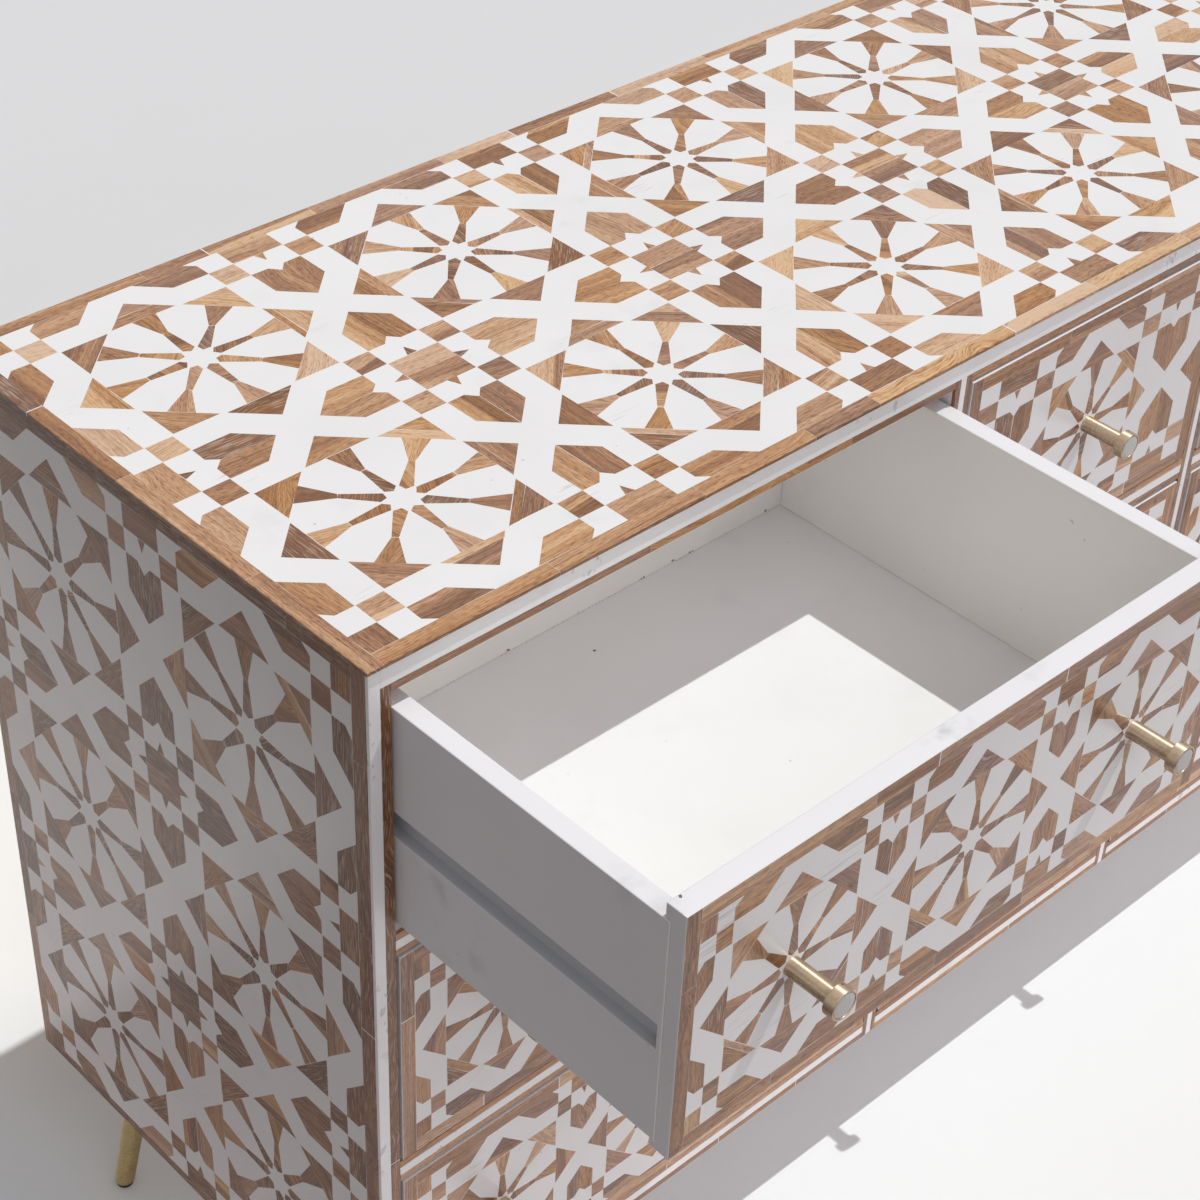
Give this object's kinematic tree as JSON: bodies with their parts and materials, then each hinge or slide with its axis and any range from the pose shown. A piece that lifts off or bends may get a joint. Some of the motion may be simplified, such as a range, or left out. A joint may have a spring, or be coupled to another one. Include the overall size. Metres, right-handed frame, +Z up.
{
  "type": "inlaid dresser",
  "caption": "Wide low dresser on slim brass legs, with star-pattern marquetry on the top, sides and drawer fronts, and drawers that slide on wooden runners.",
  "frame": {"origin": "on the floor, under the middle of the top", "axes": "+X to the right along the length, +Y to the back, +Z up; the drawers open towards -Y"},
  "size_m": [1.4, 0.746, 0.85],
  "materials": {
    "marquetry": "flush teak and white inlay, fine satin",
    "strip_wood": "satin oiled teak",
    "white_paint": "white satin paint on board",
    "plywood": "plain sanded plywood",
    "runner_wood": "planed and waxed",
    "brass": "brushed, lacquered",
    "steel": "plain",
    "rubber": "matt"
  },
  "bodies": {
    "carcass": {"top_board": "white_paint", "top_marquetry": "marquetry", "side_boards": "white_paint", "side_marquetry": "marquetry", "bottom_board": "white_paint", "back_panel": "plywood", "partitions": "white_paint", "front_rails": "white_paint", "runners": "runner_wood", "white_edge_bands": "white_paint", "wood_edge_strips": "strip_wood", "legs": "brass", "leg_plates": "steel", "foot_pads": "rubber"},
    "drawer_top_left": {"drawer_top_left_front": "white_paint", "drawer_top_left_face": "marquetry", "drawer_top_left_box": "white_paint", "drawer_top_left_bottom": "white_paint", "drawer_top_left_knobs": "brass"},
    "drawer_top_centre": {"drawer_top_centre_front": "white_paint", "drawer_top_centre_face": "marquetry", "drawer_top_centre_box": "white_paint", "drawer_top_centre_bottom": "white_paint", "drawer_top_centre_knobs": "brass"},
    "drawer_top_right": {"drawer_top_right_front": "white_paint", "drawer_top_right_face": "marquetry", "drawer_top_right_box": "white_paint", "drawer_top_right_bottom": "white_paint", "drawer_top_right_knobs": "brass"},
    "drawer_middle_left": {"drawer_middle_left_front": "white_paint", "drawer_middle_left_face": "marquetry", "drawer_middle_left_box": "white_paint", "drawer_middle_left_bottom": "white_paint", "drawer_middle_left_knobs": "brass"},
    "drawer_middle_centre": {"drawer_middle_centre_front": "white_paint", "drawer_middle_centre_face": "marquetry", "drawer_middle_centre_box": "white_paint", "drawer_middle_centre_bottom": "white_paint", "drawer_middle_centre_knobs": "brass"},
    "drawer_middle_right": {"drawer_middle_right_front": "white_paint", "drawer_middle_right_face": "marquetry", "drawer_middle_right_box": "white_paint", "drawer_middle_right_bottom": "white_paint", "drawer_middle_right_knobs": "brass"},
    "drawer_bottom_left": {"drawer_bottom_left_front": "white_paint", "drawer_bottom_left_face": "marquetry", "drawer_bottom_left_box": "white_paint", "drawer_bottom_left_bottom": "white_paint", "drawer_bottom_left_knobs": "brass"},
    "drawer_bottom_centre": {"drawer_bottom_centre_front": "white_paint", "drawer_bottom_centre_face": "marquetry", "drawer_bottom_centre_box": "white_paint", "drawer_bottom_centre_bottom": "white_paint", "drawer_bottom_centre_knobs": "brass"},
    "drawer_bottom_right": {"drawer_bottom_right_front": "white_paint", "drawer_bottom_right_face": "marquetry", "drawer_bottom_right_box": "white_paint", "drawer_bottom_right_bottom": "white_paint", "drawer_bottom_right_knobs": "brass"}
  },
  "joints": [
    {"name": "drawer_top_left_slide", "type": "slide", "parent": "carcass", "child": "drawer_top_left", "axis": [0, -1, 0], "range_m": [-0.245, 0.055]},
    {"name": "drawer_top_centre_slide", "type": "slide", "parent": "carcass", "child": "drawer_top_centre", "axis": [0, -1, 0], "range_m": [0, 0.3]},
    {"name": "drawer_top_right_slide", "type": "slide", "parent": "carcass", "child": "drawer_top_right", "axis": [0, -1, 0], "range_m": [0, 0.3]},
    {"name": "drawer_middle_left_slide", "type": "slide", "parent": "carcass", "child": "drawer_middle_left", "axis": [0, -1, 0], "range_m": [0, 0.3]},
    {"name": "drawer_middle_centre_slide", "type": "slide", "parent": "carcass", "child": "drawer_middle_centre", "axis": [0, -1, 0], "range_m": [0, 0.3]},
    {"name": "drawer_middle_right_slide", "type": "slide", "parent": "carcass", "child": "drawer_middle_right", "axis": [0, -1, 0], "range_m": [0, 0.3]},
    {"name": "drawer_bottom_left_slide", "type": "slide", "parent": "carcass", "child": "drawer_bottom_left", "axis": [0, -1, 0], "range_m": [0, 0.3]},
    {"name": "drawer_bottom_centre_slide", "type": "slide", "parent": "carcass", "child": "drawer_bottom_centre", "axis": [0, -1, 0], "range_m": [0, 0.3]},
    {"name": "drawer_bottom_right_slide", "type": "slide", "parent": "carcass", "child": "drawer_bottom_right", "axis": [0, -1, 0], "range_m": [0, 0.3]}
  ]
}
